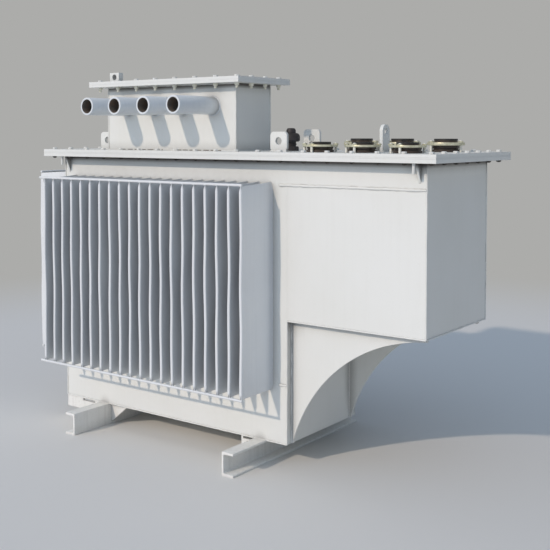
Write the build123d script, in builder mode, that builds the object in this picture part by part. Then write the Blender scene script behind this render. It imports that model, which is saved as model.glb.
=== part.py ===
"""Power transformer: a finned steel tank on two channel skids, with a side extension
under a bolted cover, a cable turret with four outlet pipes, and six bushing wells.

Millimetres, +Z up. +X points to the extension, and -Y is the side of the outlet pipes.
The origin lies on the floor, under the middle of the whole transformer's box.
"""

import os

from build123d import *

# Tank: a narrow lower box, and an extension that overhangs its right end
tank_length = 1080
extension_length = 515
tank_depth = 430
tank_height = 955
extension_bottom = 418
wall = 6

# Bolted cover on the tank's rim flange
cover_overhang = 60
rim_thickness = 12
gasket_thickness = 5
gasket_width = 44
cover_thickness = 10

# Rim brackets, the small triangles that stiffen the flange beside the tank's corners
bracket_reach = 24
bracket_drop = 62
bracket_thickness = 8
bracket_inset = 20

# Cooling fins of the corrugated panels, and the round bars that tie them
fin_pitch = 50
fin_thickness = 11
fin_depth = 165
fin_bottom = 178
fin_top_clearance = 83
end_fin_top_clearance = 71
fin_top_rise = 9
front_fin_start = 61
tie_bar_diameter = 9
tie_bar_overrun = 22

# Channel skids under the tank, and the plates that brace them
skid_height = 80
skid_flange = 48
skid_web = 7
skid_flange_thickness = 8
left_skid_web = 237
right_skid_web = 945
skid_front_reach = 180
skid_back_reach = 160
skid_rib_width = 88
skid_rib_inset = 10
skid_rib_thickness = 10
foot_plate_height = 46
foot_plate_thickness = 8
foot_slot_height = 8
foot_slot_drop = 4
left_slot_start = 88
left_slot_length = 68
right_foot_length = 59
right_slot_start = 7
right_slot_length = 48

# Curved gussets that carry the extension
gusset_inset = 26
gusset_thickness = 10
gusset_tip_inset = 10
gusset_foot_width = 5
gusset_lip = 12
gusset_hollow_share = 0.158

# Turret on the cover, with its own bolted cover
turret_start = 202
turret_length = 630
turret_front_inset = 40
turret_depth = 200
turret_height = 238
turret_overhang = 52
turret_rim_thickness = 10
turret_cover_thickness = 11

# Outlet pipes through the turret's front wall
pipe_count = 4
pipe_pitch = 140
pipe_diameter = 64
pipe_wall = 6
pipe_reach = 210
pipe_centre_height = 160
pipe_inner_stub = 14

# Lifting lugs on the cover
lug_width = 70
lug_thickness = 10
lug_corner = 14
lug_hole_diameter = 26
lug_hole_top_distance = 32
front_lug_height = 68
back_lug_height = 77
left_lug_centre = 146
front_right_lug_clearance = 151
back_right_lug_clearance = 126
front_lug_inset = 85
back_lug_inset = 95

# Bushing wells, two rows beyond the turret, each held by a clamp ring
well_columns = 3
well_column_pitch = 164
well_row_spacing = 266
first_well_clearance = 325
well_foot_height = 8
well_groove_height = 3
well_groove_depth = 3
well_recess_diameter = 48
well_recess_depth = 12
front_well_foot_diameter = 92
front_well_body_diameter = 88
front_well_shoulder_height = 18
front_well_neck_diameter = 71
front_well_height = 34
front_ring_diameter = 118
front_ring_thickness = 7
back_well_foot_diameter = 100
back_well_body_diameter = 88
back_well_shoulder_height = 22
back_well_neck_diameter = 78
back_well_height = 44
back_ring_diameter = 126
back_ring_thickness = 10

# Pressure relief valve beside the turret
valve_clearance = 112
valve_base_across_flats = 50
valve_base_height = 16
valve_body_diameter = 40
valve_body_height = 17
valve_cap_diameter = 64
valve_cap_height = 31
valve_knob_diameter = 34
valve_knob_height = 17
valve_edge = 4

# Eye plate among the wells, and the vent lug on the turret's cover
eye_distance = 169
eye_width = 46
eye_height = 92
eye_thickness = 12
eye_hole_diameter = 22
vent_lug_start = 103
vent_lug_inset = 34
vent_lug_width = 48
vent_lug_height = 34
vent_lug_thickness = 22
vent_lug_hole_diameter = 22

# Overrun of a cut past the faces that it goes through
overrun = 2

# Places that follow from the sizes above
total_length = tank_length + extension_length
front_reach = max(pipe_reach - turret_front_inset, skid_front_reach, fin_depth, cover_overhang)
back_reach = max(fin_depth, skid_back_reach, cover_overhang)
left_reach = max(fin_depth, cover_overhang)
tank_left = -(left_reach + total_length + cover_overhang) / 2 + left_reach
tank_front = -(front_reach + tank_depth + back_reach) / 2 + front_reach
tank_bottom = skid_height
tank_right = tank_left + tank_length
tank_end = tank_left + total_length
tank_back = tank_front + tank_depth
tank_middle = (tank_front + tank_back) / 2
extension_floor_level = tank_bottom + extension_bottom
rim_level = tank_bottom + tank_height
gasket_level = rim_level + rim_thickness
cover_level = gasket_level + gasket_thickness
cover_top = cover_level + cover_thickness
fin_low = tank_bottom + fin_bottom
long_fin_height = tank_height - fin_bottom - fin_top_clearance
end_fin_height = tank_height - fin_bottom - end_fin_top_clearance
long_fin_count = int((tank_length - 2 * front_fin_start) / fin_pitch) + 1
end_fin_count = int((tank_depth - fin_thickness) / fin_pitch) + 1
turret_left = tank_left + turret_start
turret_right = turret_left + turret_length
turret_front = tank_front + turret_front_inset
turret_back = turret_front + turret_depth
turret_rim_level = cover_top + turret_height
turret_cover_level = turret_rim_level + turret_rim_thickness
turret_top = turret_cover_level + turret_cover_thickness
pipe_level = cover_top + pipe_centre_height
pipe_radius = pipe_diameter / 2
first_pipe = (turret_left + turret_right) / 2 - pipe_pitch * (pipe_count - 1) / 2

low_corner = (Align.MIN, Align.MIN)
low_corner_3d = (Align.MIN, Align.MIN, Align.MIN)
os.makedirs("parts", exist_ok=True)


def save(piece, name):
    """Label a finished piece and write its STEP file."""
    piece.part.label = name
    export_step(piece.part, f"parts/{name}.step")


# Lower tank: a floor, two long walls and two end walls, welded at their edges
with BuildPart() as tank_floor:
    with BuildSketch(Plane.XY.offset(tank_bottom)):
        with Locations((tank_left, tank_front)):
            Rectangle(tank_length, tank_depth, align=low_corner)
    extrude(amount=wall)
save(tank_floor, "tank_floor")

for side, face in (("front", tank_front), ("back", tank_back - wall)):
    with BuildPart() as long_wall:
        with Locations((tank_left, face, tank_bottom + wall)):
            Box(tank_length, wall, tank_height - wall, align=low_corner_3d)
    save(long_wall, f"tank_{side}_wall")

with BuildPart() as tank_left_wall:
    with Locations((tank_left, tank_front + wall, tank_bottom + wall)):
        Box(wall, tank_depth - 2 * wall, tank_height - wall, align=low_corner_3d)
save(tank_left_wall, "tank_left_wall")

with BuildPart() as tank_right_wall:
    with Locations((tank_right - wall, tank_front + wall, tank_bottom + wall)):
        Box(wall, tank_depth - 2 * wall, extension_bottom - wall, align=low_corner_3d)
save(tank_right_wall, "tank_right_wall")

# Extension: the upper part of the tank runs on past the lower tank's right end
for side, face in (("front", tank_front), ("back", tank_back - wall)):
    with BuildPart() as extension_wall:
        with Locations((tank_right, face, extension_floor_level)):
            Box(extension_length, wall, tank_height - extension_bottom, align=low_corner_3d)
    save(extension_wall, f"extension_{side}_wall")

with BuildPart() as extension_floor:
    with BuildSketch(Plane.XY.offset(extension_floor_level)):
        with Locations((tank_right - wall, tank_front + wall)):
            Rectangle(extension_length + wall, tank_depth - 2 * wall, align=low_corner)
    extrude(amount=wall)
save(extension_floor, "extension_floor")

with BuildPart() as extension_end_wall:
    with Locations((tank_end - wall, tank_front + wall, extension_floor_level + wall)):
        Box(wall, tank_depth - 2 * wall, tank_height - extension_bottom - wall, align=low_corner_3d)
save(extension_end_wall, "extension_end_wall")

# Gussets: two upright plates between the extension and the foot of the lower tank, each
# with a hollow edge, an arc whose depth is a share of its chord
gusset_foot = (tank_right + gusset_foot_width, tank_bottom)
gusset_tip = (tank_end - gusset_tip_inset, extension_floor_level - gusset_lip)
gusset_run = gusset_tip[0] - gusset_foot[0]
gusset_rise = gusset_tip[1] - gusset_foot[1]
gusset_waist = (gusset_foot[0] + gusset_run / 2 - gusset_hollow_share * gusset_rise,
                gusset_foot[1] + gusset_rise / 2 + gusset_hollow_share * gusset_run)
for side, face in (("front", tank_front + gusset_inset),
                   ("back", tank_back - gusset_inset - gusset_thickness)):
    with BuildPart() as gusset:
        with BuildSketch(Plane.XZ.offset(-face)):
            with BuildLine():
                ThreePointArc(gusset_foot, gusset_waist, gusset_tip)
                Polyline(
                    gusset_tip,
                    (gusset_tip[0], extension_floor_level),
                    (tank_right, extension_floor_level),
                    (tank_right, tank_bottom),
                    gusset_foot,
                )
            make_face()
        extrude(amount=-gusset_thickness)
    save(gusset, f"gusset_{side}")

# Rim flange round the tank's mouth, its gasket and the cover
rim_outer_length = total_length + 2 * cover_overhang
rim_outer_depth = tank_depth + 2 * cover_overhang
rim_middle = ((tank_left + tank_end) / 2, tank_middle)
for name, level, thickness, inner_length, inner_depth in (
    ("tank_rim", rim_level, rim_thickness, total_length - 2 * wall, tank_depth - 2 * wall),
    ("cover_gasket", gasket_level, gasket_thickness,
     rim_outer_length - 2 * gasket_width, rim_outer_depth - 2 * gasket_width),
):
    with BuildPart() as ring_plate:
        with BuildSketch(Plane.XY.offset(level)):
            with Locations(rim_middle):
                Rectangle(rim_outer_length, rim_outer_depth)
                Rectangle(inner_length, inner_depth, mode=Mode.SUBTRACT)
        extrude(amount=thickness)
    save(ring_plate, name)

with BuildPart() as cover_plate:
    with BuildSketch(Plane.XY.offset(cover_level)):
        with Locations(rim_middle):
            Rectangle(rim_outer_length, rim_outer_depth)
        with Locations((turret_left + wall, turret_front + wall)):
            Rectangle(turret_length - 2 * wall, turret_depth - 2 * wall, align=low_corner,
                      mode=Mode.SUBTRACT)
    extrude(amount=cover_thickness)
save(cover_plate, "cover_plate")

# Rim brackets: triangles under the flange, near each end of the long walls
with BuildPart() as rim_brackets:
    for face, outward in ((tank_front, -1), (tank_back, 1)):
        for start in (tank_left + bracket_inset, tank_end - bracket_inset - bracket_thickness):
            with BuildSketch(Plane.YZ.offset(start)):
                with BuildLine():
                    Polyline(
                        (face, rim_level),
                        (face + outward * bracket_reach, rim_level),
                        (face, rim_level - bracket_drop),
                        close=True,
                    )
                make_face()
            extrude(amount=bracket_thickness)
save(rim_brackets, "rim_brackets")


def fin_places(first, count):
    """Centres of a row of fins along their panel."""
    return [first + fin_pitch * number for number in range(count)]


# Fin panels: rows of thin hollow fins on the tank's walls, here as closed plates whose
# tops are level under the tie bar and rise a little from there to the wall
fin_shelf = fin_depth - tie_bar_diameter
long_fins = fin_places(tank_left + front_fin_start, long_fin_count)
end_fins = fin_places(tank_middle - fin_pitch * (end_fin_count - 1) / 2, end_fin_count)

for side, face, outward in (("front", tank_front, -1), ("back", tank_back, 1)):
    with BuildPart() as fin_panel:
        for place in long_fins:
            with BuildSketch(Plane.YZ.offset(place - fin_thickness / 2)):
                with BuildLine():
                    Polyline(
                        (face, fin_low),
                        (face + outward * fin_depth, fin_low),
                        (face + outward * fin_depth, fin_low + long_fin_height),
                        (face + outward * fin_shelf, fin_low + long_fin_height),
                        (face, fin_low + long_fin_height + fin_top_rise),
                        close=True,
                    )
                make_face()
            extrude(amount=fin_thickness)
    save(fin_panel, f"fin_panel_{side}")

with BuildPart() as fin_panel_left:
    for place in end_fins:
        with BuildSketch(Plane.XZ.offset(-place - fin_thickness / 2)):
            with BuildLine():
                Polyline(
                    (tank_left, fin_low),
                    (tank_left - fin_depth, fin_low),
                    (tank_left - fin_depth, fin_low + end_fin_height),
                    (tank_left - fin_shelf, fin_low + end_fin_height),
                    (tank_left, fin_low + end_fin_height + fin_top_rise),
                    close=True,
                )
            make_face()
        extrude(amount=fin_thickness)
save(fin_panel_left, "fin_panel_left")

# Tie bars: round bars along the outer corners of the fins, above and below. The long
# ones run past the left end of their panel and stop flush at the right.
tie_radius = tie_bar_diameter / 2
long_tie_start = long_fins[0] - fin_thickness / 2 - tie_bar_overrun
long_tie_length = long_fins[-1] - long_fins[0] + fin_thickness + tie_bar_overrun
for side, face, outward in (("front", tank_front, -1), ("back", tank_back, 1)):
    with BuildPart() as tie_bars:
        for level in (fin_low - tie_radius, fin_low + long_fin_height + tie_radius):
            with BuildSketch(Plane.YZ.offset(long_tie_start)):
                with Locations((face + outward * (fin_depth - tie_radius), level)):
                    Circle(tie_radius)
            extrude(amount=long_tie_length)
    save(tie_bars, f"tie_bars_{side}")

end_tie_start = end_fins[0] - fin_thickness / 2
end_tie_length = end_fins[-1] - end_fins[0] + fin_thickness
with BuildPart() as tie_bars_left:
    for level in (fin_low - tie_radius, fin_low + end_fin_height + tie_radius):
        with BuildSketch(Plane.XZ.offset(-end_tie_start)):
            with Locations((tank_left - fin_depth + tie_radius, level)):
                Circle(tie_radius)
        extrude(amount=-end_tie_length)
save(tie_bars_left, "tie_bars_left")

# Skids: channels laid across under the tank, with their open sides outwards
skid_start = tank_front - skid_front_reach
skid_length = skid_front_reach + tank_depth + skid_back_reach
for side, web_face, outward in (("left", tank_left + left_skid_web, -1),
                                ("right", tank_left + right_skid_web, 1)):
    with BuildPart() as skid:
        with BuildSketch(Plane.XZ.offset(-skid_start)):
            with Locations((web_face + outward * skid_flange / 2, skid_height / 2)):
                Rectangle(skid_flange, skid_height)
            with Locations((web_face + outward * (skid_flange + skid_web) / 2, skid_height / 2)):
                Rectangle(skid_flange - skid_web, skid_height - 2 * skid_flange_thickness,
                          mode=Mode.SUBTRACT)
        extrude(amount=-skid_length)
    save(skid, f"skid_{side}")

# Skid ribs: triangles between the tank's floor and the back of the left skid's web
left_web_back = tank_left + left_skid_web
with BuildPart() as skid_ribs:
    for start in (tank_front + skid_rib_inset, tank_back - skid_rib_inset - skid_rib_thickness):
        with BuildSketch(Plane.XZ.offset(-start)):
            with BuildLine():
                Polyline(
                    (left_web_back, tank_bottom),
                    (left_web_back + skid_rib_width, tank_bottom),
                    (left_web_back, skid_flange_thickness),
                    close=True,
                )
            make_face()
        extrude(amount=-skid_rib_thickness)
save(skid_ribs, "skid_ribs")

# Foot plates: slotted strips under the long walls, a long one from the left corner to the
# left skid and a short one at the back of the right skid's web
left_foot_length = left_skid_web - skid_flange
right_foot_start = right_skid_web - right_foot_length
for side, face in (("front", tank_front), ("back", tank_back - foot_plate_thickness)):
    with BuildPart() as foot_plate:
        for start, length, slot_start, slot_length in (
            (tank_left, left_foot_length, left_slot_start, left_slot_length),
            (tank_left + right_foot_start, right_foot_length, right_slot_start, right_slot_length),
        ):
            with Locations((start, face, tank_bottom - foot_plate_height)):
                Box(length, foot_plate_thickness, foot_plate_height, align=low_corner_3d)
            with Locations((start + slot_start, face - overrun,
                            tank_bottom - foot_slot_drop - foot_slot_height)):
                Box(slot_length, foot_plate_thickness + 2 * overrun, foot_slot_height,
                    align=low_corner_3d, mode=Mode.SUBTRACT)
    save(foot_plate, f"foot_plate_{side}")

# Turret: four walls on the cover, open below into the tank
with BuildPart() as turret_front_wall:
    with Locations((turret_left, turret_front, cover_top)):
        Box(turret_length, wall, turret_height, align=low_corner_3d)
    with BuildSketch(Plane.XZ.offset(-turret_front + overrun)):
        with Locations([(first_pipe + pipe_pitch * number, pipe_level)
                        for number in range(pipe_count)]):
            Circle(pipe_radius)
    extrude(amount=-wall - 2 * overrun, mode=Mode.SUBTRACT)
save(turret_front_wall, "turret_front_wall")

with BuildPart() as turret_back_wall:
    with Locations((turret_left, turret_back - wall, cover_top)):
        Box(turret_length, wall, turret_height, align=low_corner_3d)
save(turret_back_wall, "turret_back_wall")

for side, start in (("left", turret_left), ("right", turret_right - wall)):
    with BuildPart() as turret_end_wall:
        with Locations((start, turret_front + wall, cover_top)):
            Box(wall, turret_depth - 2 * wall, turret_height, align=low_corner_3d)
    save(turret_end_wall, f"turret_{side}_wall")

turret_middle = ((turret_left + turret_right) / 2, (turret_front + turret_back) / 2)
turret_outer_length = turret_length + 2 * turret_overhang
turret_outer_depth = turret_depth + 2 * turret_overhang
with BuildPart() as turret_rim:
    with BuildSketch(Plane.XY.offset(turret_rim_level)):
        with Locations(turret_middle):
            Rectangle(turret_outer_length, turret_outer_depth)
            Rectangle(turret_length - 2 * wall, turret_depth - 2 * wall, mode=Mode.SUBTRACT)
    extrude(amount=turret_rim_thickness)
save(turret_rim, "turret_rim")

with BuildPart() as turret_cover:
    with BuildSketch(Plane.XY.offset(turret_cover_level)):
        with Locations(turret_middle):
            Rectangle(turret_outer_length, turret_outer_depth)
    extrude(amount=turret_cover_thickness)
save(turret_cover, "turret_cover")

# Outlet pipes: plain steel tubes through the turret's front wall, open at both ends
for number in range(pipe_count):
    with BuildPart() as outlet_pipe:
        with BuildSketch(Plane.XZ.offset(-(turret_front - pipe_reach))):
            with Locations((first_pipe + pipe_pitch * number, pipe_level)):
                Circle(pipe_radius)
                Circle(pipe_radius - pipe_wall, mode=Mode.SUBTRACT)
        extrude(amount=-(pipe_reach + wall + pipe_inner_stub))
    save(outlet_pipe, f"outlet_pipe_{number + 1}")

# Lifting lugs: plates across the cover's corners, with rounded shoulders and a hole
for side, start, height, right_clearance in (
    ("front", tank_front + front_lug_inset, front_lug_height, front_right_lug_clearance),
    ("back", tank_back - back_lug_inset - lug_thickness, back_lug_height, back_right_lug_clearance),
):
    for end, centre in (("left", tank_left + left_lug_centre),
                        ("right", turret_right + right_clearance)):
        with BuildPart() as lifting_lug:
            with BuildSketch(Plane.XZ.offset(-start)) as lug_face:
                with Locations((centre, cover_top)):
                    Rectangle(lug_width, height, align=(Align.CENTER, Align.MIN))
                fillet(lug_face.vertices().group_by(Axis.Z)[-1], lug_corner)
                with Locations((centre, cover_top + height - lug_hole_top_distance)):
                    Circle(lug_hole_diameter / 2, mode=Mode.SUBTRACT)
            extrude(amount=-lug_thickness)
        save(lifting_lug, f"lifting_lug_{side}_{end}")

# Bushing wells: moulded bodies turned about their own axes, in two rows
well_places = [turret_right + first_well_clearance + well_column_pitch * column
               for column in range(well_columns)]
recess_radius = well_recess_diameter / 2
groove_top = well_foot_height + well_groove_height
for side, row, foot_diameter, body_diameter, neck_diameter, shoulder, height in (
    ("front", tank_middle - well_row_spacing / 2, front_well_foot_diameter,
     front_well_body_diameter, front_well_neck_diameter, front_well_shoulder_height,
     front_well_height),
    ("back", tank_middle + well_row_spacing / 2, back_well_foot_diameter,
     back_well_body_diameter, back_well_neck_diameter, back_well_shoulder_height,
     back_well_height),
):
    foot_radius = foot_diameter / 2
    body_radius = body_diameter / 2
    neck_radius = neck_diameter / 2
    with BuildPart() as bushing_wells:
        for place in well_places:
            with BuildSketch(Plane.XZ.offset(-row)):
                with BuildLine():
                    Polyline(
                        (place, cover_top),
                        (place + foot_radius, cover_top),
                        (place + foot_radius, cover_top + well_foot_height),
                        (place + body_radius - well_groove_depth, cover_top + well_foot_height),
                        (place + body_radius - well_groove_depth, cover_top + groove_top),
                        (place + body_radius, cover_top + groove_top),
                        (place + body_radius, cover_top + shoulder),
                        (place + neck_radius, cover_top + shoulder),
                        (place + neck_radius, cover_top + height),
                        (place + recess_radius, cover_top + height),
                        (place + recess_radius, cover_top + height - well_recess_depth),
                        (place, cover_top + height - well_recess_depth),
                        close=True,
                    )
                make_face()
            revolve(axis=Axis((place, row, 0), (0, 0, 1)))
    save(bushing_wells, f"bushing_wells_{side}")

for side, row, ring_diameter, hole_diameter, shoulder, thickness in (
    ("front", tank_middle - well_row_spacing / 2, front_ring_diameter,
     front_well_neck_diameter, front_well_shoulder_height, front_ring_thickness),
    ("back", tank_middle + well_row_spacing / 2, back_ring_diameter,
     back_well_neck_diameter, back_well_shoulder_height, back_ring_thickness),
):
    with BuildPart() as clamp_rings:
        with BuildSketch(Plane.XY.offset(cover_top + shoulder)):
            with Locations([(place, row) for place in well_places]):
                Circle(ring_diameter / 2)
                Circle(hole_diameter / 2, mode=Mode.SUBTRACT)
        extrude(amount=thickness)
    save(clamp_rings, f"clamp_rings_{side}")

# Pressure relief valve: a hexagon base, a stem, a wide cap and its test knob
valve_place = (turret_right + valve_clearance, tank_middle)
valve_cap_level = cover_top + valve_base_height + valve_body_height
with BuildPart() as relief_valve:
    with BuildSketch(Plane.XY.offset(cover_top)):
        with Locations(valve_place):
            RegularPolygon(valve_base_across_flats / 2, 6, major_radius=False)
    extrude(amount=valve_base_height)
    with BuildSketch(Plane.XY.offset(cover_top + valve_base_height)):
        with Locations(valve_place):
            Circle(valve_body_diameter / 2)
    extrude(amount=valve_body_height)
    with BuildSketch(Plane.XY.offset(valve_cap_level)):
        with Locations(valve_place):
            Circle(valve_cap_diameter / 2)
    extrude(amount=valve_cap_height)
    chamfer(relief_valve.edges().group_by(Axis.Z)[-1], valve_edge)
    with BuildSketch(Plane.XY.offset(valve_cap_level + valve_cap_height)):
        with Locations(valve_place):
            Circle(valve_knob_diameter / 2)
    extrude(amount=valve_knob_height)
save(relief_valve, "relief_valve")

# Eye plate between the rows of wells, with a rounded head
with BuildPart() as eye_plate:
    with BuildSketch(Plane.YZ.offset(well_places[0] + eye_distance - eye_thickness / 2)):
        with Locations((tank_middle, cover_top)):
            Rectangle(eye_width, eye_height - eye_width / 2, align=(Align.CENTER, Align.MIN))
        with Locations((tank_middle, cover_top + eye_height - eye_width / 2)):
            Circle(eye_width / 2)
            Circle(eye_hole_diameter / 2, mode=Mode.SUBTRACT)
    extrude(amount=eye_thickness)
save(eye_plate, "eye_plate")

# Vent lug on the turret's cover
with BuildPart() as vent_lug:
    vent_centre = turret_left - turret_overhang + vent_lug_start
    with BuildSketch(Plane.XZ.offset(-(turret_front - turret_overhang + vent_lug_inset))):
        with Locations((vent_centre, turret_top)):
            Rectangle(vent_lug_width, vent_lug_height, align=(Align.CENTER, Align.MIN))
        with Locations((vent_centre, turret_top + vent_lug_height / 2)):
            Circle(vent_lug_hole_diameter / 2, mode=Mode.SUBTRACT)
    extrude(amount=-vent_lug_thickness)
save(vent_lug, "vent_lug")
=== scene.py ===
"""A power transformer in white enamel: a finned tank on two channel skids, with a side
extension, a bolted cover, a cable turret with four outlet pipes, and six bushing wells.

Metres, +Z up. +X points to the extension, and -Y is the side of the outlet pipes.
"""

import math
import random

import bmesh
import bpy
from mathutils import Matrix, Vector


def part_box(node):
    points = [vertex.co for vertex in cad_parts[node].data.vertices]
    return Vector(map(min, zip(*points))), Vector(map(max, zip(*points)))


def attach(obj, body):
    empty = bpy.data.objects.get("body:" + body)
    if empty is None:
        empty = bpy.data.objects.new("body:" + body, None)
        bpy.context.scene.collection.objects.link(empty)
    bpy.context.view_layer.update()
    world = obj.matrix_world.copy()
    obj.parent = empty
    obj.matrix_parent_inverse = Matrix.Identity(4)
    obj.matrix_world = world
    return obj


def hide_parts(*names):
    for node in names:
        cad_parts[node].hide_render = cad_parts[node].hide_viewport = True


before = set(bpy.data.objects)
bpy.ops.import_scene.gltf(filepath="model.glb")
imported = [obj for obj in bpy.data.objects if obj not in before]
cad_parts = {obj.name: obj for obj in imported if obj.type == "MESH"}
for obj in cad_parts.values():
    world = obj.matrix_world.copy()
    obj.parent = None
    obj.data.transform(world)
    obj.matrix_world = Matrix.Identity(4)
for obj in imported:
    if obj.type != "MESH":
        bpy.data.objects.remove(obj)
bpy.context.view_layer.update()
bpy.context.scene.view_settings.view_transform = "Standard"

# The camera stands in front of the transformer and to its right, a little higher than the
# cover, with a long lens. The frame is shifted down, so that upright edges stay upright.
camera_place = (2.1810, -2.7929, 1.1217)
camera_turn = math.radians(36.249)
camera_dip = math.radians(2.519)
camera_lens = 62.85
frame_shift = -0.1795

bpy.ops.object.camera_add(
    location=camera_place, rotation=(math.pi / 2 - camera_dip, 0, camera_turn)
)
camera = bpy.context.object
camera.name = "camera"
camera.data.lens = camera_lens
camera.data.shift_y = frame_shift
bpy.context.scene.camera = camera


# The floor is pale matt card under one large soft lamp from the front left, with even,
# slightly cool light from all round. Far off, the card turns into the plain backdrop.
def linear(code):
    """A colour written as sRGB hex, as the linear values that a shader takes."""
    shares = [int(code[start:start + 2], 16) / 255 for start in (1, 3, 5)]
    return [s / 12.92 if s <= 0.04045 else ((s + 0.055) / 1.055) ** 2.4 for s in shares] + [1]


def add_node(tree, kind, inputs=None, **settings):
    """Adds a node with its settings, and fills its inputs from values or other sockets."""
    node = tree.nodes.new("ShaderNode" + kind)
    for name, value in settings.items():
        setattr(node, name, value)
    for name, value in (inputs or {}).items():
        if isinstance(value, bpy.types.NodeSocket):
            tree.links.new(value, node.inputs[name])
        else:
            node.inputs[name].default_value = value
    return node


backdrop = linear("#ACACAA")
lamp_tone, air_tone, card_tone = "#FFEDDA", "#D2E5FF", "#E2E0DB"
lamp_direction = Vector((0.22, 1, -0.558))
lamp_strength = 1.52
lamp_spread = math.radians(1.5)
air_strength, glow_share = 0.565, 0.95
sky_side = Vector((-0.45, -0.89, 0))
floor_radius, card_start, card_end = 60, 2.2, 4.6

bpy.ops.object.light_add(type="SUN", rotation=lamp_direction.to_track_quat("-Z", "Y").to_euler())
lamp = bpy.context.object
lamp.name = "lamp"
lamp.data.energy = lamp_strength
lamp.data.color = linear(lamp_tone)[:3]
lamp.data.angle = lamp_spread


def seen_rays(tree):
    """A socket that is 1 for rays from the camera or off a mirror, and 0 for the others."""
    ray = add_node(tree, "LightPath")
    mirrored = add_node(tree, "Math", {0: ray.outputs["Is Glossy Ray"],
                                       1: ray.outputs["Is Transmission Ray"]},
                        operation="MAXIMUM")
    seen = add_node(tree, "Math", {0: ray.outputs["Is Camera Ray"], 1: mirrored.outputs[0]},
                    operation="MAXIMUM")
    return seen.outputs[0]


air = bpy.data.worlds.new("air")
air.use_nodes = True
bpy.context.scene.world = air
tree = air.node_tree
tree.nodes.clear()
# The half of the sky where the lamp stands glows more than the other half
way = add_node(tree, "TexCoord")
towards = add_node(tree, "VectorMath", {0: way.outputs["Generated"], 1: sky_side},
                   operation="DOT_PRODUCT")
glow = add_node(tree, "MapRange", {"Value": towards.outputs["Value"], "From Min": -1,
                                   "To Min": air_strength * (1 - glow_share),
                                   "To Max": air_strength * (1 + glow_share)})
fill = add_node(tree, "Background", {"Color": linear(air_tone), "Strength": glow.outputs[0]})
plain = add_node(tree, "Background", {"Color": backdrop, "Strength": 1})
shown = add_node(tree, "MixShader", {0: seen_rays(tree), 1: fill.outputs[0],
                                     2: plain.outputs[0]})
add_node(tree, "OutputWorld", {"Surface": shown.outputs[0]})


def blank_material(name):
    """A new material whose node tree is empty, and that tree."""
    material = bpy.data.materials.new(name)
    material.use_nodes = True
    material.node_tree.nodes.clear()
    return material, material.node_tree


bpy.ops.mesh.primitive_circle_add(vertices=96, radius=floor_radius, fill_type="NGON")
floor = bpy.context.object
floor.name = "floor"
card, tree = blank_material("matt_card")
spot = add_node(tree, "TexCoord")
away = add_node(tree, "VectorMath", {0: spot.outputs["Object"]}, operation="LENGTH")
far = add_node(tree, "MapRange", {"Value": away.outputs["Value"], "From Min": card_start,
                                  "From Max": card_end}, interpolation_type="SMOOTHSTEP")
turned_plain = add_node(tree, "Math", {0: far.outputs[0], 1: seen_rays(tree)},
                        operation="MULTIPLY")
matt = add_node(tree, "BsdfDiffuse", {"Color": linear(card_tone)})
plain = add_node(tree, "Emission", {"Color": backdrop, "Strength": 1})
shown = add_node(tree, "MixShader", {0: turned_plain.outputs[0], 1: matt.outputs[0],
                                     2: plain.outputs[0]})
add_node(tree, "OutputMaterial", {"Surface": shown.outputs[0]})
floor.data.materials.append(card)


# Skids: two rolled steel channels across under the tank, open outwards, in dull white
# primer with specks of dirt and painted shade in their inner corners. Triangular ribs brace
# their backs against the tank.
# Selections by place are made to the nearest millimetre
near = 0.001
smooth_angle = math.radians(35)


def choose(kind, test):
    """In edit mode, selects only the VERT, EDGE or FACE items whose middle passes a test."""
    bpy.ops.mesh.select_mode(type=kind)
    bpy.ops.mesh.select_all(action="DESELECT")
    shape = bmesh.from_edit_mesh(bpy.context.object.data)
    items = {"VERT": shape.verts, "EDGE": shape.edges, "FACE": shape.faces}[kind]
    for item in items:
        corners = [item] if kind == "VERT" else item.verts
        if test(sum((corner.co for corner in corners), Vector()) / len(corners)):
            item.select_set(True)
    shape.select_flush_mode()
    bmesh.update_edit_mesh(bpy.context.object.data)


def cut(place, normal):
    """In edit mode, cuts the whole shape along a plane and keeps both sides."""
    bpy.ops.mesh.select_all(action="SELECT")
    bpy.ops.mesh.bisect(plane_co=place, plane_no=normal)


def block(low, high):
    """A new box between two corners, with its place in its mesh."""
    low, high = Vector(low), Vector(high)
    bpy.ops.object.select_all(action="DESELECT")
    bpy.ops.mesh.primitive_cube_add(size=1, location=(low + high) / 2, scale=high - low)
    bpy.ops.object.transform_apply(location=True, rotation=True, scale=True)
    return bpy.context.object


def coat(nodes, finish):
    """Gives CAD pieces, which stay as they are, their finish."""
    for node in nodes:
        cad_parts[node].data.materials.clear()
        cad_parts[node].data.materials.append(finish)


def dress(piece, name, finish, slot, *replaced):
    """Names a finished piece, gives it its material, and lets it ride on the frame."""
    piece.name = piece.data.name = name
    if not piece.data.materials:
        piece.data.materials.append(finish)
    bpy.ops.object.select_all(action="DESELECT")
    piece.select_set(True)
    bpy.context.view_layer.objects.active = piece
    bpy.ops.object.shade_smooth_by_angle(angle=smooth_angle)
    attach(piece, "root")
    if replaced:
        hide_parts(*replaced)


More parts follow.
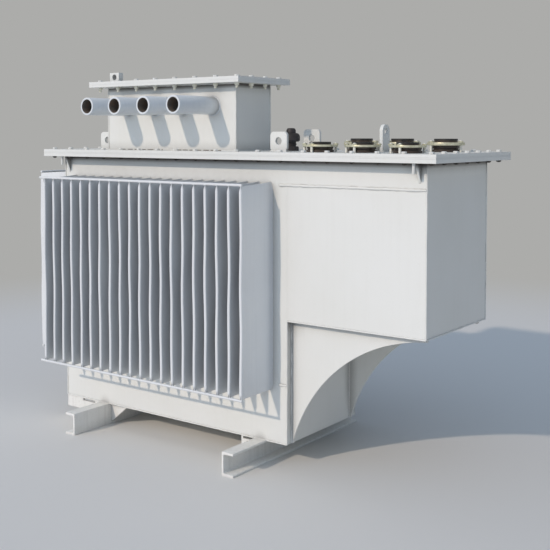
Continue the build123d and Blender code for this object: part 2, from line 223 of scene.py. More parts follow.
def enamel(name, fresh, aged, dirt, dirt_share, gloss, painted_shade_tone, painted_shade_share):
    """Alkyd enamel sprayed on steel plate. To the eye it is an even satin white, with wide
    soft patches, faint upright rain streaks, painted shade deep in the corners where other
    steel stands close, and edges that the thick paint rounds."""
    paint, tree = blank_material(name)
    spot = add_node(tree, "TexCoord")
    # Patches about 300 mm across, where the coats differ in thickness
    patches = add_node(tree, "TexNoise", {"Vector": spot.outputs["Object"], "Scale": 1 / 0.3,
                                          "Detail": 3})
    patch_share = add_node(tree, "MapRange", {"Value": patches.outputs["Fac"],
                                              "From Min": 0.35, "From Max": 0.7})
    patched = add_node(tree, "Mix", {0: patch_share.outputs[0], 6: linear(fresh),
                                     7: linear(aged)}, data_type="RGBA")
    # Streaks about 15 mm wide and 400 mm long
    drawn = add_node(tree, "Mapping", {"Vector": spot.outputs["Object"],
                                       "Scale": (1 / 0.015, 1 / 0.015, 1 / 0.4)})
    streaks = add_node(tree, "TexNoise", {"Vector": drawn.outputs[0], "Scale": 1, "Detail": 4})
    streak_share = add_node(tree, "MapRange", {"Value": streaks.outputs["Fac"],
                                               "From Min": 0.5, "From Max": 0.85,
                                               "To Max": dirt_share})
    streaked = add_node(tree, "Mix", {0: streak_share.outputs[0], 6: patched.outputs[2],
                                      7: linear(dirt)}, data_type="RGBA")
    # Specks about 6 mm apart, coarser than the real ones so that they show
    specks = add_node(tree, "TexNoise", {"Vector": spot.outputs["Object"], "Scale": 1 / 0.006,
                                         "Detail": 2})
    speck_share = add_node(tree, "MapRange", {"Value": specks.outputs["Fac"],
                                              "From Min": 0.6, "From Max": 0.8,
                                              "To Max": dirt_share})
    speckled = add_node(tree, "Mix", {0: speck_share.outputs[0], 6: streaked.outputs[2],
                                      7: linear(dirt)}, data_type="RGBA")
    # Painted shade: a darker tone mixed in where other steel stands within 60 mm
    occlusion = add_node(tree, "AmbientOcclusion", {"Distance": 0.06}, samples=8)
    occlusion_shade_share = add_node(tree, "MapRange", {"Value": occlusion.outputs["AO"], "From Min": 0.2,
                                                "From Max": 0.85, "To Min": painted_shade_share,
                                                "To Max": 0})
    shade_mixed = add_node(tree, "Mix", {0: occlusion_shade_share.outputs[0], 6: speckled.outputs[2],
                                    7: linear(painted_shade_tone)}, data_type="RGBA")
    # Orange peel of sprayed enamel, about 4 mm from crest to crest
    peel = add_node(tree, "TexNoise", {"Vector": spot.outputs["Object"], "Scale": 1 / 0.004,
                                       "Detail": 1})
    # Edges rounded by 1.8 mm, more than real paint rounds them, so that they show
    soft_edge = add_node(tree, "Bevel", {"Radius": 0.0018}, samples=4)
    relief = add_node(tree, "Bump", {"Height": peel.outputs["Fac"], "Strength": 0.25,
                                     "Distance": 0.0002, "Normal": soft_edge.outputs[0]})
    worn = add_node(tree, "MapRange", {"Value": patches.outputs["Fac"],
                                       "To Min": gloss - 0.05, "To Max": gloss + 0.08})
    skin = add_node(tree, "BsdfPrincipled", {"Base Color": shade_mixed.outputs[2],
                                             "Roughness": worn.outputs[0], "IOR": 1.5,
                                             "Normal": relief.outputs[0]})
    add_node(tree, "OutputMaterial", {"Surface": skin.outputs[0]})
    return paint


# The last two values of each enamel are the tone and share of its painted shade in close corners
skid_primer = enamel("skid_primer", "#F2F1EC", "#EAE9E3", "#857B6E", 0.2, 0.6, "#8A847C", 0.4)
web_thickness, flange_thickness = 0.007, 0.008
root_radius, toe_radius = 0.006, 0.003

for side, outward in (("left", -1), ("right", 1)):
    low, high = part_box(f"skid_{side}")
    back, toe = (high.x, low.x) if outward < 0 else (low.x, high.x)
    inner = back + outward * web_thickness
    lower, upper = low.z + flange_thickness, high.z - flange_thickness
    channel = block((min(back, inner), low.y, low.z), (max(back, inner), high.y, high.z))
    bpy.ops.object.mode_set(mode="EDIT")
    cut((0, 0, lower), (0, 0, 1))
    cut((0, 0, upper), (0, 0, 1))
    choose("FACE", lambda middle: abs(middle.x - inner) < near
           and not lower < middle.z < upper)
    bpy.ops.mesh.extrude_region_move(TRANSFORM_OT_translate={"value": (toe - inner, 0, 0)})
    # The long edges inside the channel: first its two roots, then its two toes
    for x, radius, segments in ((inner, root_radius, 4), (toe, toe_radius, 3)):
        choose("EDGE", lambda middle: abs(middle.x - x) < near
               and abs(middle.y - (low.y + high.y) / 2) < near
               and lower - near < middle.z < upper + near)
        bpy.ops.mesh.bevel(offset=radius, segments=segments, affect="EDGES")
    bpy.ops.mesh.select_all(action="SELECT")
    bpy.ops.mesh.normals_make_consistent(inside=False)
    bpy.ops.object.mode_set(mode="OBJECT")
    dress(channel, f"skid_channel_{side}", skid_primer, "skid_paint", f"skid_{side}")

coat(("skid_ribs", "foot_plate_front", "foot_plate_back"), skid_primer)


# Tank: 6 mm steel plates welded at their edges and sprayed with white enamel. The upper
# part runs on to the right as an extension that hangs past the lower tank.
def paint_rim_shade(paint, level, reach, share, rim_shade_tone):
    """Darkens a paint with painted shade in the band right under a rim."""
    tree = paint.node_tree
    skin = next(node for node in tree.nodes if node.type == "BSDF_PRINCIPLED")
    clean = skin.inputs["Base Color"].links[0].from_socket
    spot = add_node(tree, "TexCoord")
    height = add_node(tree, "SeparateXYZ", {0: spot.outputs["Object"]})
    near_rim = add_node(tree, "MapRange", {"Value": height.outputs["Z"],
                                           "From Min": level - reach,
                                           "From Max": level - reach / 3, "To Max": share})
    shade_mixed = add_node(tree, "Mix", {0: near_rim.outputs[0], 6: clean, 7: linear(rim_shade_tone)},
                      data_type="RGBA")
    tree.links.new(shade_mixed.outputs[2], skin.inputs["Base Color"])


tank_white = ("#EBEBE6", "#E7E7E1", "#B4AEA2", 0.05, 0.42)
wall_enamel = enamel("wall_enamel", *tank_white, "#4E4843", 0.95)
cover_enamel = enamel("cover_enamel", *tank_white, "#5E5B58", 0.6)
rim_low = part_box("tank_rim")[0].z
# Painted shade: a dark band 18 mm deep right under the rims of the tank and the turret
rim_shade_reach, rim_shade_share, rim_shade_tone = 0.018, 0.9, "#4E4843"
paint_rim_shade(wall_enamel, rim_low, rim_shade_reach, rim_shade_share, rim_shade_tone)
coat(("tank_floor", "tank_front_wall", "tank_back_wall", "tank_left_wall", "tank_right_wall",
      "extension_front_wall", "extension_back_wall", "extension_floor", "extension_end_wall",
      "gusset_front", "gusset_back", "rim_brackets"), wall_enamel)
coat(("tank_rim", "cover_plate"), cover_enamel)

# A bead swells and shrinks about every 8 mm, and has a ring of corners every 12 mm
weld_ripple = bpy.data.textures.new("weld_ripple", "CLOUDS")
weld_ripple.noise_scale = 0.008
ripple_step = 0.012


def rod(start, end, radius, sides):
    """A new round bar between two points."""
    run = end - start
    bpy.ops.object.select_all(action="DESELECT")
    bpy.ops.mesh.primitive_cylinder_add(
        vertices=sides, radius=radius, depth=run.length, location=(start + end) / 2,
        rotation=run.to_track_quat("Z", "Y").to_euler())
    bpy.ops.object.transform_apply(location=True, rotation=True, scale=True)
    return bpy.context.object


def modify(piece, kind, **settings):
    """Gives the active piece a modifier with its settings, and applies it."""
    modifier = piece.modifiers.new(kind, kind)
    for name, value in settings.items():
        setattr(modifier, name, value)
    bpy.ops.object.modifier_apply(modifier=modifier.name)


def weld_bead(start, end, radius):
    """A run of weld between two points: a thin round bar that swells and shrinks."""
    start, end = Vector(start), Vector(end)
    bead = rod(start, end, radius, 8)
    bpy.ops.object.mode_set(mode="EDIT")
    # The long edges, whose middles stand round the middle of the run
    choose("EDGE", lambda middle: (middle - (start + end) / 2).length < 1.5 * radius)
    bpy.ops.mesh.subdivide(number_cuts=max(1, int((end - start).length / ripple_step)))
    bpy.ops.object.mode_set(mode="OBJECT")
    modify(bead, "DISPLACE", texture=weld_ripple, strength=radius)
    return bead


def join(pieces):
    """Joins pieces into the first of them."""
    bpy.ops.object.select_all(action="DESELECT")
    for piece in pieces:
        piece.select_set(True)
    bpy.context.view_layer.objects.active = pieces[0]
    bpy.ops.object.join()
    return pieces[0]


tank_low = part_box("tank_floor")[0]
tank_right, tank_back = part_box("tank_floor")[1].xy
tank_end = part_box("extension_end_wall")[1].x
extension_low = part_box("extension_floor")[0].z
corner_bead, flat_bead = 0.0026, 0.0045
plate_seam, seam_start = tank_low.z + 0.872, tank_right - 0.030
patch_seam = tank_low.z + 0.200

beads = []
for y in (tank_low.y, tank_back):
    for start, end, radius in (
        ((tank_low.x, tank_low.z), (tank_low.x, rim_low), corner_bead),
        ((tank_right, tank_low.z), (tank_right, extension_low), corner_bead),
        ((tank_end, extension_low), (tank_end, rim_low), corner_bead),
        ((tank_low.x, tank_low.z), (tank_right, tank_low.z), corner_bead),
        ((tank_right, extension_low), (tank_end, extension_low), corner_bead),
        ((seam_start, plate_seam), (tank_end, plate_seam), flat_bead),
        ((seam_start, patch_seam), (tank_right, patch_seam), flat_bead),
    ):
        beads.append(weld_bead((start[0], y, start[1]), (end[0], y, end[1]), radius))
beads.append(weld_bead((tank_end, tank_low.y, extension_low),
                       (tank_end, tank_back, extension_low), corner_bead))
dress(join(beads), "tank_welds", wall_enamel, "tank_paint")


# Fins: thin hollow folds of 1.2 mm sheet that stand off the tank's walls and carry the oil.
# Each is pressed flat and welded at its two ends, and flares where it meets the wall.
fin_enamel = enamel("fin_enamel", "#E8EAEA", "#E2E4E5", "#9AA0A4", 0.08, 0.38, "#63666A", 0.75)
fin_depth, fin_thickness, fin_pitch = 0.165, 0.011, 0.050
pressed_end, pressed_share = 0.016, 0.42
flare_depth, flare_share = 0.008, 1.9
shelf_depth, top_rise = 0.009, 0.009
fin_levels, tip_round_share = 12, 0.6
lean_most, wave_height, half_waves = 0.0022, 0.0020, 4
random.seed(11)


def fin(height):
    """One fin at the origin, from its root on the wall at y = 0 to its tip at -Y. Its top is
    level at the tip, under the tie bar, and rises from there to the wall."""
    half = fin_thickness / 2
    piece = block((-half, -fin_depth, 0), (half, 0, height))
    bpy.ops.object.mode_set(mode="EDIT")
    for level in (pressed_end, height - pressed_end):
        cut((0, 0, level), (0, 0, 1))
    for number in range(1, fin_levels):
        cut((0, 0, height * number / fin_levels), (0, 0, 1))
    cut((0, -flare_depth, 0), (0, 1, 0))
    cut((0, shelf_depth - fin_depth, 0), (0, 1, 0))
    choose("VERT", lambda middle: middle.z < near or middle.z > height - near)
    bpy.ops.transform.resize(value=(pressed_share, 1, 1), center_override=(0, 0, 0))
    for place, drop in ((flare_depth, top_rise * flare_depth / (fin_depth - shelf_depth)),
                        (fin_depth - shelf_depth, top_rise), (fin_depth, top_rise)):
        choose("VERT", lambda middle: middle.z > height - pressed_end - near
               and abs(middle.y + place) < near)
        bpy.ops.transform.translate(value=(0, 0, -drop))
    choose("VERT", lambda middle: middle.y > -near)
    bpy.ops.transform.resize(value=(flare_share, 1, 1), center_override=(0, 0, 0))
    choose("EDGE", lambda middle: middle.y < near - fin_depth and abs(middle.x) > near)
    bpy.ops.mesh.bevel(offset=half * tip_round_share, segments=3, affect="EDGES")
    bpy.ops.object.mode_set(mode="OBJECT")
    return piece


def spread(master, moves, sway=None):
    """Copies a finished master to each place, each copy with its own mesh, and joins them.
    A sway bends each copy a little before it is moved."""
    copies = []
    for move in moves:
        copy = master.copy()
        copy.data = master.data.copy()
        if sway:
            sway(copy.data)
        copy.data.transform(move)
        bpy.context.collection.objects.link(copy)
        copies.append(copy)
    bpy.data.objects.remove(master)
    return join(copies)


def fin_row(side):
    """The way in which the fins of a side follow each other, and their places along it."""
    low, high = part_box(f"fin_panel_{side}")
    along = Vector((0, 1, 0)) if side == "left" else Vector((1, 0, 0))
    first = along.dot(low) + fin_thickness / 2
    count = round((along.dot(high - low) - fin_thickness) / fin_pitch) + 1
    return along, [first + fin_pitch * number for number in range(count)]


def bend_fin(mesh):
    """Bends a fin a little sideways between its ends, as thin folded sheet does."""
    height = max(corner.co.z for corner in mesh.vertices)
    lean, phase = random.uniform(-lean_most, lean_most), random.uniform(0, 2 * math.pi)
    for corner in mesh.vertices:
        turn = math.pi * corner.co.z / height
        sideways = lean + wave_height * math.sin(phase + half_waves * turn)
        corner.co.x += sideways * math.sin(turn) * -corner.co.y / fin_depth


for side, turn in (("front", 0), ("back", math.pi), ("left", -math.pi / 2)):
    low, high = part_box(f"fin_panel_{side}")
    along, places = fin_row(side)
    roots = {"front": (0, high.y, low.z), "back": (0, low.y, low.z), "left": (high.x, 0, low.z)}
    root, facing = Vector(roots[side]), Matrix.Rotation(turn, 4, "Z")
    row = spread(fin(high.z - low.z),
                 [Matrix.Translation(root + along * place) @ facing for place in places], bend_fin)
    dress(row, f"fins_{side}", fin_enamel, "fin_paint", f"fin_panel_{side}")


# Tie bars: 9 mm round steel bars along the tips of the fins, above and below, with a tack
# weld on every fin that they hold in line.
bar_radius, bar_chamfer = 0.0045, 0.0015
tack_radius, tack_depth_share = 0.0050, 0.8


def tie_bar(start, end):
    """One round bar between two points, with chamfered ends."""
    bar = rod(start, end, bar_radius, 20)
    bpy.ops.object.mode_set(mode="EDIT")
    choose("FACE", lambda middle: min((middle - start).length, (middle - end).length) < near)
    bpy.ops.mesh.bevel(offset=bar_chamfer, segments=2, affect="EDGES")
    bpy.ops.object.mode_set(mode="OBJECT")
    return bar


for side in ("front", "back", "left"):
    low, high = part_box(f"tie_bars_{side}")
    along, places = fin_row(side)
    parts = []
    for level, inward in ((low.z + bar_radius, 1), (high.z - bar_radius, -1)):
        middle = Vector(((low.x + high.x) / 2, (low.y + high.y) / 2, level))
        start, end = (middle + along * along.dot(corner - middle) for corner in (low, high))
        parts.append(tie_bar(start, end))
        bpy.ops.object.select_all(action="DESELECT")
        bpy.ops.mesh.primitive_ico_sphere_add(subdivisions=2, radius=tack_radius)
        tack = bpy.context.object
        modify(tack, "DISPLACE", texture=weld_ripple, strength=tack_radius / 2)
        inset = Vector((0, 0, inward * bar_radius * tack_depth_share))
        parts.append(spread(tack, [
            Matrix.Translation(middle + inset + along * (place - along.dot(middle)))
            for place in places]))
    dress(join(parts), f"tie_rods_{side}", fin_enamel, "fin_paint", f"tie_bars_{side}")


# Gussets and rim brackets: flame-cut plates like the tank's. Fillet welds hold the gussets
# to the extension's floor and to the end of the lower tank. Beside the brackets, a short
# round pin hangs from the rim near each corner.
fillet = 0.0035
beads = []
for side in ("front", "back"):
    low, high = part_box(f"gusset_{side}")
    for y in (low.y, high.y):
        beads.append(weld_bead((low.x, y, low.z), (low.x, y, high.z), fillet))
        beads.append(weld_bead((low.x, y, high.z), (high.x, y, high.z), fillet))
dress(join(beads), "gusset_welds", wall_enamel, "tank_paint")

low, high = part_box("rim_brackets")
bracket_thickness = 0.008
pin_radius, pin_drop, pin_reach = 0.005, 0.034, 0.040
pin_point, pin_point_share = 0.003, 0.6


def turned(place, profile, sides):
    """A body turned about an upright axis, drawn up through rings of (radius, height)."""
    place = Vector(place)
    radius, height = profile[0]
    bpy.ops.object.select_all(action="DESELECT")
    bpy.ops.mesh.primitive_circle_add(vertices=sides, radius=radius, fill_type="NGON",
                                      location=place + Vector((0, 0, height)))
    bpy.ops.object.transform_apply(location=True, rotation=True, scale=True)
    bpy.ops.object.mode_set(mode="EDIT")
    bpy.ops.mesh.select_mode(type="FACE")
    bpy.ops.mesh.select_all(action="SELECT")
    for next_radius, next_height in profile[1:]:
        bpy.ops.mesh.extrude_region_move(
            TRANSFORM_OT_translate={"value": (0, 0, next_height - height)})
        share = next_radius / radius
        bpy.ops.transform.resize(value=(share, share, 1), center_override=place)
        radius, height = next_radius, next_height
    bpy.ops.mesh.select_all(action="SELECT")
    bpy.ops.mesh.normals_make_consistent(inside=False)
    bpy.ops.object.mode_set(mode="OBJECT")
    return bpy.context.object


pins = []
for x in (low.x + bracket_thickness / 2, high.x - bracket_thickness / 2):
    for y in (tank_low.y - pin_reach, tank_back + pin_reach):
        pins.append(turned((x, y, rim_low - pin_drop),
                           [(pin_radius * pin_point_share, 0), (pin_radius, pin_point),
                            (pin_radius, pin_drop)], 16))
dress(join(pins), "rim_pins", cover_enamel, "tank_paint")


# Gasket: a cork and rubber sheet between rim and cover, squeezed level with their edges and
# sprayed over with the tank.
coated_rubber = enamel("coated_rubber", "#E9E9E4", "#E3E3DD", "#A8A498", 0.1, 0.5, "#4E4843", 0.8)
coat(("cover_gasket",), coated_rubber)


# Bolts: M10 steel hexagon bolts all round the cover's rim and the turret's. Their heads were
# sprayed over with the covers. The zinc-plated nuts below are bright on the turret; on the rim
# they are painted dark grey as shade under the rim.
def zinc(name, tone, tint, tint_share, metal):
    """Zinc plating on steel, passivated clear or yellow, or dark grey as painted shade. To the eye
    it is a metal with dull cloudy patches of its tinge. A thin coat of paint takes off its shine."""
    plating, tree = blank_material(name)
    spot = add_node(tree, "TexCoord")
    # Clouds about 12 mm across
    clouds = add_node(tree, "TexNoise", {"Vector": spot.outputs["Object"], "Scale": 1 / 0.012,
                                         "Detail": 3})
    share = add_node(tree, "MapRange", {"Value": clouds.outputs["Fac"], "From Min": 0.35,
                                        "From Max": 0.65, "To Max": tint_share})
    colour = add_node(tree, "Mix", {0: share.outputs[0], 6: linear(tone), 7: linear(tint)},
                      data_type="RGBA")
    dull = add_node(tree, "MapRange", {"Value": clouds.outputs["Fac"], "To Min": 0.3,
                                       "To Max": 0.5})
    relief = add_node(tree, "Bump", {"Height": clouds.outputs["Fac"], "Strength": 0.2,
                                     "Distance": 0.0003})
    skin = add_node(tree, "BsdfPrincipled", {"Base Color": colour.outputs[2], "Metallic": metal,
                                             "Roughness": dull.outputs[0],
                                             "Normal": relief.outputs[0]})
    add_node(tree, "OutputMaterial", {"Surface": skin.outputs[0]})
    return plating


bolt_zinc = zinc("bolt_zinc", "#F4F2E6", "#D6D2B8", 0.6, 0.25)
# Painted shade: the rim's nuts are dark grey for the shade under the cover's rim
rim_nut_shade_dark = zinc("rim_nut_shade_dark", "#57524E", "#3A3633", 0.7, 0.75)
bolt_enamel = enamel("bolt_enamel", "#EFEFEA", "#E8E8E2", "#A8A294", 0.1, 0.4, "#B5B2AC", 0.5)
head_radius, head_height = 0.0088, 0.0055
head_edge_share, head_top_share = 0.8, 0.84
washer_radius, washer_thickness = 0.0100, 0.0016
washer_edge_share, washer_top_share = 0.7, 0.94
thread_share, thread_point_share, thread_point = 0.58, 0.75, 0.001


def hexagon(place, radius, height, upward):
    """A hexagon head or nut with chamfered corners, above or below a place."""
    piece = turned((0, 0, 0), [(radius, 0), (radius, height * head_edge_share),
                               (radius * head_top_share, height)], 6)
    if not upward:
        piece.data.transform(Matrix.Rotation(math.pi, 4, "X"))
    piece.data.transform(Matrix.Translation(place))
    return piece


def bolt_head():
    """A washer and a hexagon head that stand on a face at z = 0."""
    washer = turned((0, 0, 0), [(washer_radius, 0),
                                (washer_radius, washer_thickness * washer_edge_share),
                                (washer_radius * washer_top_share, washer_thickness)], 20)
    return join([hexagon((0, 0, washer_thickness), head_radius, head_height, True), washer])


def bolt_nut(radius, height, tail):
    """A nut and its thread end that hang below a face at z = 0."""
    thread = radius * thread_share
    return join([hexagon((0, 0, 0), radius, height, False),
                 turned((0, 0, -height - tail), [(thread * thread_point_share, 0),
                                                 (thread, thread_point), (thread, tail)], 12)])


def rim_places(low, high, inset, long_gaps, short_gaps):
    """Bolt places round a rectangle, in even steps with a bolt at each corner."""
    left, right, front, back = low.x + inset, high.x - inset, low.y + inset, high.y - inset
    places = []
    for number in range(long_gaps + 1):
        x = left + (right - left) * number / long_gaps
        places += [(x, front), (x, back)]
    for number in range(1, short_gaps):
        y = front + (back - front) * number / short_gaps
        places += [(left, y), (right, y)]
    return places


# Each nut's sizes are its radius, its height and the thread end below it
bolt_inset = 0.030
for name, top, bottom, long_gaps, short_gaps, nut_finish, nut_sizes in (
    ("cover", "cover_plate", "tank_rim", 18, 6, rim_nut_shade_dark, (0.0085, 0.0060, 0.0015)),
    ("turret", "turret_cover", "turret_rim", 7, 3, bolt_zinc, (0.0085, 0.0090, 0.0090)),
):
    low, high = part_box(top)
    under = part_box(bottom)[0].z
    places = rim_places(low, high, bolt_inset, long_gaps, short_gaps)
    turns = [Matrix.Rotation(random.uniform(0, math.pi), 4, "Z") for place in places]
    heads = spread(bolt_head(), [Matrix.Translation((x, y, high.z)) @ turn
                                 for (x, y), turn in zip(places, turns)])
    dress(heads, f"{name}_bolts", bolt_enamel, "tank_paint")
    nuts = spread(bolt_nut(*nut_sizes), [Matrix.Translation((x, y, under)) @ turn
                                         for (x, y), turn in zip(places, turns)])
    dress(nuts, f"{name}_nuts", nut_finish, "zinc_plate")


# Turret: a box of welded steel plate on the cover for the cables, with its own rim and
# bolted cover. Its foot is stitch-welded, and where two runs of its front are left open the
# joint is dark with dirt.
turret_left, turret_front, turret_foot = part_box("turret_front_wall")[0]
turret_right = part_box("turret_front_wall")[1].x
turret_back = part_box("turret_back_wall")[1].y
turret_rim_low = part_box("turret_rim")[0].z
turret_enamel = enamel("turret_enamel", *tank_white, "#5E5B58", 0.6)
# Painted shade under the turret's rim, as under the tank's
paint_rim_shade(turret_enamel, turret_rim_low, rim_shade_reach, rim_shade_share, rim_shade_tone)
coat(("turret_front_wall", "turret_back_wall", "turret_left_wall", "turret_right_wall"),
     turret_enamel)
coat(("turret_rim", "turret_cover"), cover_enamel)

beads = []
for x in (turret_left, turret_right):
    for y in (turret_front, turret_back):
        beads.append(weld_bead((x, y, turret_foot), (x, y, turret_rim_low), corner_bead))
    beads.append(weld_bead((x, turret_front, turret_foot), (x, turret_back, turret_foot), fillet))
open_runs = [(turret_left + start, turret_left + end)
             for start, end in ((0.065, 0.286), (0.352, 0.566))]
starts = [turret_left] + [end for start, end in open_runs]
ends = [start for start, end in open_runs] + [turret_right]
for start, end, y, level in (
    *((start, end, turret_front, turret_foot) for start, end in zip(starts, ends)),
    (turret_left, turret_right, turret_back, turret_foot),
    (turret_left, turret_right, turret_front, turret_rim_low),
    (turret_left, turret_right, turret_back, turret_rim_low),
):
    beads.append(weld_bead((start, y, level), (end, y, level), fillet))
dress(join(beads), "turret_welds", cover_enamel, "tank_paint")


def dusty(name, tone, bloom, gloss):
    """Dirt packed in a joint, or filled resin or plastic from a steel mould. To the eye it is
    dark, dull or glossy, with a faint dusty bloom in patches."""
    skin, tree = blank_material(name)
    spot = add_node(tree, "TexCoord")
    # Dust patches about 25 mm across
    patches = add_node(tree, "TexNoise", {"Vector": spot.outputs["Object"], "Scale": 1 / 0.025,
                                          "Detail": 3})
    share = add_node(tree, "MapRange", {"Value": patches.outputs["Fac"], "From Min": 0.4,
                                        "From Max": 0.75, "To Max": 0.5})
    colour = add_node(tree, "Mix", {0: share.outputs[0], 6: linear(tone), 7: linear(bloom)},
                      data_type="RGBA")
    dull = add_node(tree, "MapRange", {"Value": patches.outputs["Fac"], "To Min": gloss,
                                       "To Max": gloss + 0.25})
    shine = add_node(tree, "BsdfPrincipled", {"Base Color": colour.outputs[2], "IOR": 1.55,
                                              "Roughness": dull.outputs[0]})
    add_node(tree, "OutputMaterial", {"Surface": shine.outputs[0]})
    return skin


joint_dirt = dusty("joint_dirt", "#6E6A64", "#8A847A", 0.6)
dirt_height, dirt_depth = 0.0030, 0.0010
dash_lengths, dash_gaps = (0.010, 0.030), (0.006, 0.014)
dashes = []
for start, end in open_runs:
    place = start
    while place < end:
        length = random.uniform(*dash_lengths)
        dashes.append(block((place, turret_front - dirt_depth, turret_foot),
                            (min(place + length, end), turret_front, turret_foot + dirt_height)))
        place += length + random.uniform(*dash_gaps)
dress(join(dashes), "turret_joint", joint_dirt, "tank_paint")


# Outlet pipes: four steel tubes through the turret's front, white outside, cut square and
# bare steel inside, each with a weld round it where it leaves the wall.
pipe_enamel = enamel("pipe_enamel", "#E4E8EA", "#DDE2E5", "#8F949A", 0.1, 0.3, "#5E5B58", 0.7)
pipe_wall, lip_width = 0.007, 0.0006
inside_share, collar_gap = 0.9, 0.001


def bare_steel(name, scale, rust):
    """Mill scale and light rust in a bare tube. To the eye it is dark, brown and rough."""
    steel, tree = blank_material(name)
    spot = add_node(tree, "TexCoord")
    # Rust patches about 20 mm across
    patches = add_node(tree, "TexNoise", {"Vector": spot.outputs["Object"], "Scale": 1 / 0.02,
                                          "Detail": 4})
    share = add_node(tree, "MapRange", {"Value": patches.outputs["Fac"], "From Min": 0.4,
                                        "From Max": 0.65})
    colour = add_node(tree, "Mix", {0: share.outputs[0], 6: linear(scale), 7: linear(rust)},
                      data_type="RGBA")
    relief = add_node(tree, "Bump", {"Height": patches.outputs["Fac"], "Strength": 0.4,
                                     "Distance": 0.0005})
    skin = add_node(tree, "BsdfPrincipled", {"Base Color": colour.outputs[2], "Metallic": 0.2,
                                             "Roughness": 0.7, "Normal": relief.outputs[0]})
    add_node(tree, "OutputMaterial", {"Surface": skin.outputs[0]})
    return steel


tube_steel = bare_steel("tube_steel", "#6E6A63", "#7C6C5E")
for number in range(1, 5):
    low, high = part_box(f"outlet_pipe_{number}")
    middle = (low + high) / 2
    radius = (high.x - low.x) / 2
    bpy.ops.object.select_all(action="DESELECT")
    bpy.ops.mesh.primitive_cylinder_add(vertices=64, radius=radius, depth=high.y - low.y,
                                        end_fill_type="NOTHING", location=middle,
                                        rotation=(math.pi / 2, 0, 0))
    bpy.ops.object.transform_apply(location=True, rotation=True, scale=True)
    pipe = bpy.context.object
    modify(pipe, "SOLIDIFY", thickness=pipe_wall, offset=-1)
    modify(pipe, "BEVEL", width=lip_width, segments=2)
    pipe.data.materials.append(pipe_enamel)
    pipe.data.materials.append(tube_steel)
    # The faces inside the wall are bare steel
    for face in pipe.data.polygons:
        off_axis = math.hypot(face.center.x - middle.x, face.center.z - middle.z)
        face.material_index = 1 if off_axis < radius - pipe_wall * inside_share else 0
    bpy.ops.object.select_all(action="DESELECT")
    bpy.ops.mesh.primitive_torus_add(major_radius=radius + collar_gap, minor_radius=fillet,
                                     major_segments=48, minor_segments=8,
                                     location=(middle.x, turret_front, middle.z),
                                     rotation=(math.pi / 2, 0, 0))
    bpy.ops.object.transform_apply(location=True, rotation=True, scale=True)
    collar = bpy.context.object
    modify(collar, "DISPLACE", texture=weld_ripple, strength=fillet)
    collar.data.materials.append(pipe_enamel)
    dress(join([pipe, collar]), f"pipe_{number}", pipe_enamel, "pipe_paint",
          f"outlet_pipe_{number}")


# Lifting lugs, the eye plate and the vent lug: flame-cut steel plates with drilled holes,
# welded on edge to the covers with a fillet along each side.
lug_nodes = ["lifting_lug_front_left", "lifting_lug_front_right", "lifting_lug_back_left",
             "lifting_lug_back_right", "eye_plate", "vent_lug"]
coat(lug_nodes, cover_enamel)
beads = []
for node in lug_nodes:
    low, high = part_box(node)
    if high.x - low.x > high.y - low.y:
        sides = [((low.x, y, low.z), (high.x, y, low.z)) for y in (low.y, high.y)]
    else:
        sides = [((x, low.y, low.z), (x, high.y, low.z)) for x in (low.x, high.x)]
    beads += [weld_bead(start, end, fillet) for start, end in sides]
dress(join(beads), "lug_welds", cover_enamel, "tank_paint")


# Bushing wells: six dark moulded resin bodies through the cover over the extension. Each is
# held down by a passivated ring on four studs, and closed by a black cap.
well_resin = dusty("well_resin", "#3A302A", "#5E544A", 0.2)
cap_plastic = dusty("cap_plastic", "#222224", "#3C3C3E", 0.35)
ring_zinc = zinc("ring_zinc", "#E2E0C8", "#B4B294", 0.6, 0.5)
stud_zinc = zinc("stud_zinc", "#F4F2EA", "#DAD7C6", 0.5, 0.2)
well_columns = 3
cap_rim, cap_height = 0.0010, 0.0060
ring_edge, ring_play = 0.001, 0.0003
stud_radius, stud_point_share, nut_radius, nut_height = 0.0045, 0.7, 0.0088, 0.0042


def clamp_ring(place, radius, hole, thickness):
    """A flat ring with a hole for the body, rounded at its edges."""
    bpy.ops.object.select_all(action="DESELECT")
    bpy.ops.mesh.primitive_cylinder_add(vertices=64, radius=radius, depth=thickness,
                                        end_fill_type="NOTHING",
                                        location=place + Vector((0, 0, thickness / 2)))
    bpy.ops.object.transform_apply(location=True, rotation=True, scale=True)
    ring = bpy.context.object
    modify(ring, "SOLIDIFY", thickness=radius - hole, offset=-1)
    modify(ring, "BEVEL", width=ring_edge, segments=2)
    return ring


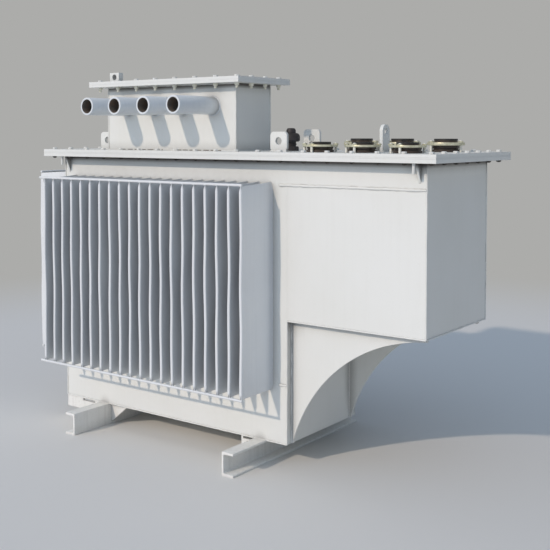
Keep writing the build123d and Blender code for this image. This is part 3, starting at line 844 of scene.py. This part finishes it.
# Each row: the radii of the foot, body, neck and stud circle, and the studs' angles
for row, foot, body, neck, stud_circle, angles in (
    ("front", 0.046, 0.044, 0.0355, 0.052, (31, 91, 211, 271)),
    ("back", 0.050, 0.044, 0.0390, 0.056, (56, 176, 236, 356)),
):
    low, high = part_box(f"bushing_wells_{row}")
    ring_low, ring_high = (corner.z - low.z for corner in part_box(f"clamp_rings_{row}"))
    row_y = (low.y + high.y) / 2
    ring_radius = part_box(f"clamp_rings_{row}")[1].y - row_y
    top = high.z - low.z
    first, last = low.x + foot, high.x - foot
    bodies, caps, rings, studs = [], [], [], []
    for column in range(well_columns):
        place = Vector((first + (last - first) * column / (well_columns - 1), row_y, low.z))
        bodies.append(turned(place, [
            (foot - 0.001, 0), (foot, 0.001), (foot, 0.007), (foot - 0.001, 0.008),
            (body - 0.003, 0.0085), (body - 0.003, 0.0105), (body - 0.001, 0.011),
            (body, 0.012), (body, ring_low), (neck, ring_low), (neck, top - cap_height)], 64))
        caps.append(turned(place, [
            (neck - 0.001, top - cap_height - 0.001), (neck + 0.0005, top - cap_height),
            (neck + 0.0005, top - cap_rim), (neck - 0.0005, top), (0.0255, top),
            (0.024, top - 0.0015), (0.024, top - 0.009), (0.012, top - 0.009),
            (0.012, top - 0.005), (0.010, top - 0.004)], 64))
        rings.append(clamp_ring(place + Vector((0, 0, ring_low)), ring_radius,
                                neck + ring_play, ring_high - ring_low))
        for angle in angles:
            across = Vector((math.cos(math.radians(angle)), math.sin(math.radians(angle)), 0))
            stud = place + across * stud_circle
            tip = ring_high + nut_height
            studs.append(turned(stud, [(stud_radius, 0), (stud_radius, tip + 0.001),
                                       (stud_radius * stud_point_share, tip + 0.0025)], 16))
            rings.append(hexagon(stud + Vector((0, 0, ring_high)), nut_radius, nut_height, True))
    dress(join(bodies), f"well_bodies_{row}", well_resin, "bushing_resin", f"bushing_wells_{row}")
    dress(join(caps), f"well_caps_{row}", cap_plastic, "bushing_resin")
    dress(join(rings), f"well_rings_{row}", ring_zinc, "zinc_plate", f"clamp_rings_{row}")
    dress(join(studs), f"well_studs_{row}", stud_zinc, "zinc_plate")


# Relief valve: a cap moulded in black plastic on a stem, screwed into the cover by its
# hexagon foot, with a knob on top for testing it.
valve_plastic = dusty("valve_black", "#2A282B", "#454247", 0.45)
low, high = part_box("relief_valve")
place = Vector(((low.x + high.x) / 2, (low.y + high.y) / 2, low.z))
foot = turned(place, [(0.0275, 0), (0.0275, 0.013), (0.025, 0.016)], 6)
valve = turned(place, [
    (0.018, 0.015), (0.018, 0.021), (0.020, 0.022), (0.020, 0.025), (0.018, 0.026),
    (0.018, 0.032), (0.028, 0.033), (0.032, 0.038), (0.032, 0.050), (0.030, 0.057),
    (0.025, 0.062), (0.017, 0.064), (0.017, 0.073), (0.014, 0.079), (0.009, 0.081)], 48)
dress(join([foot, valve]), "relief_cap", valve_plastic, "valve_plastic", "relief_valve")
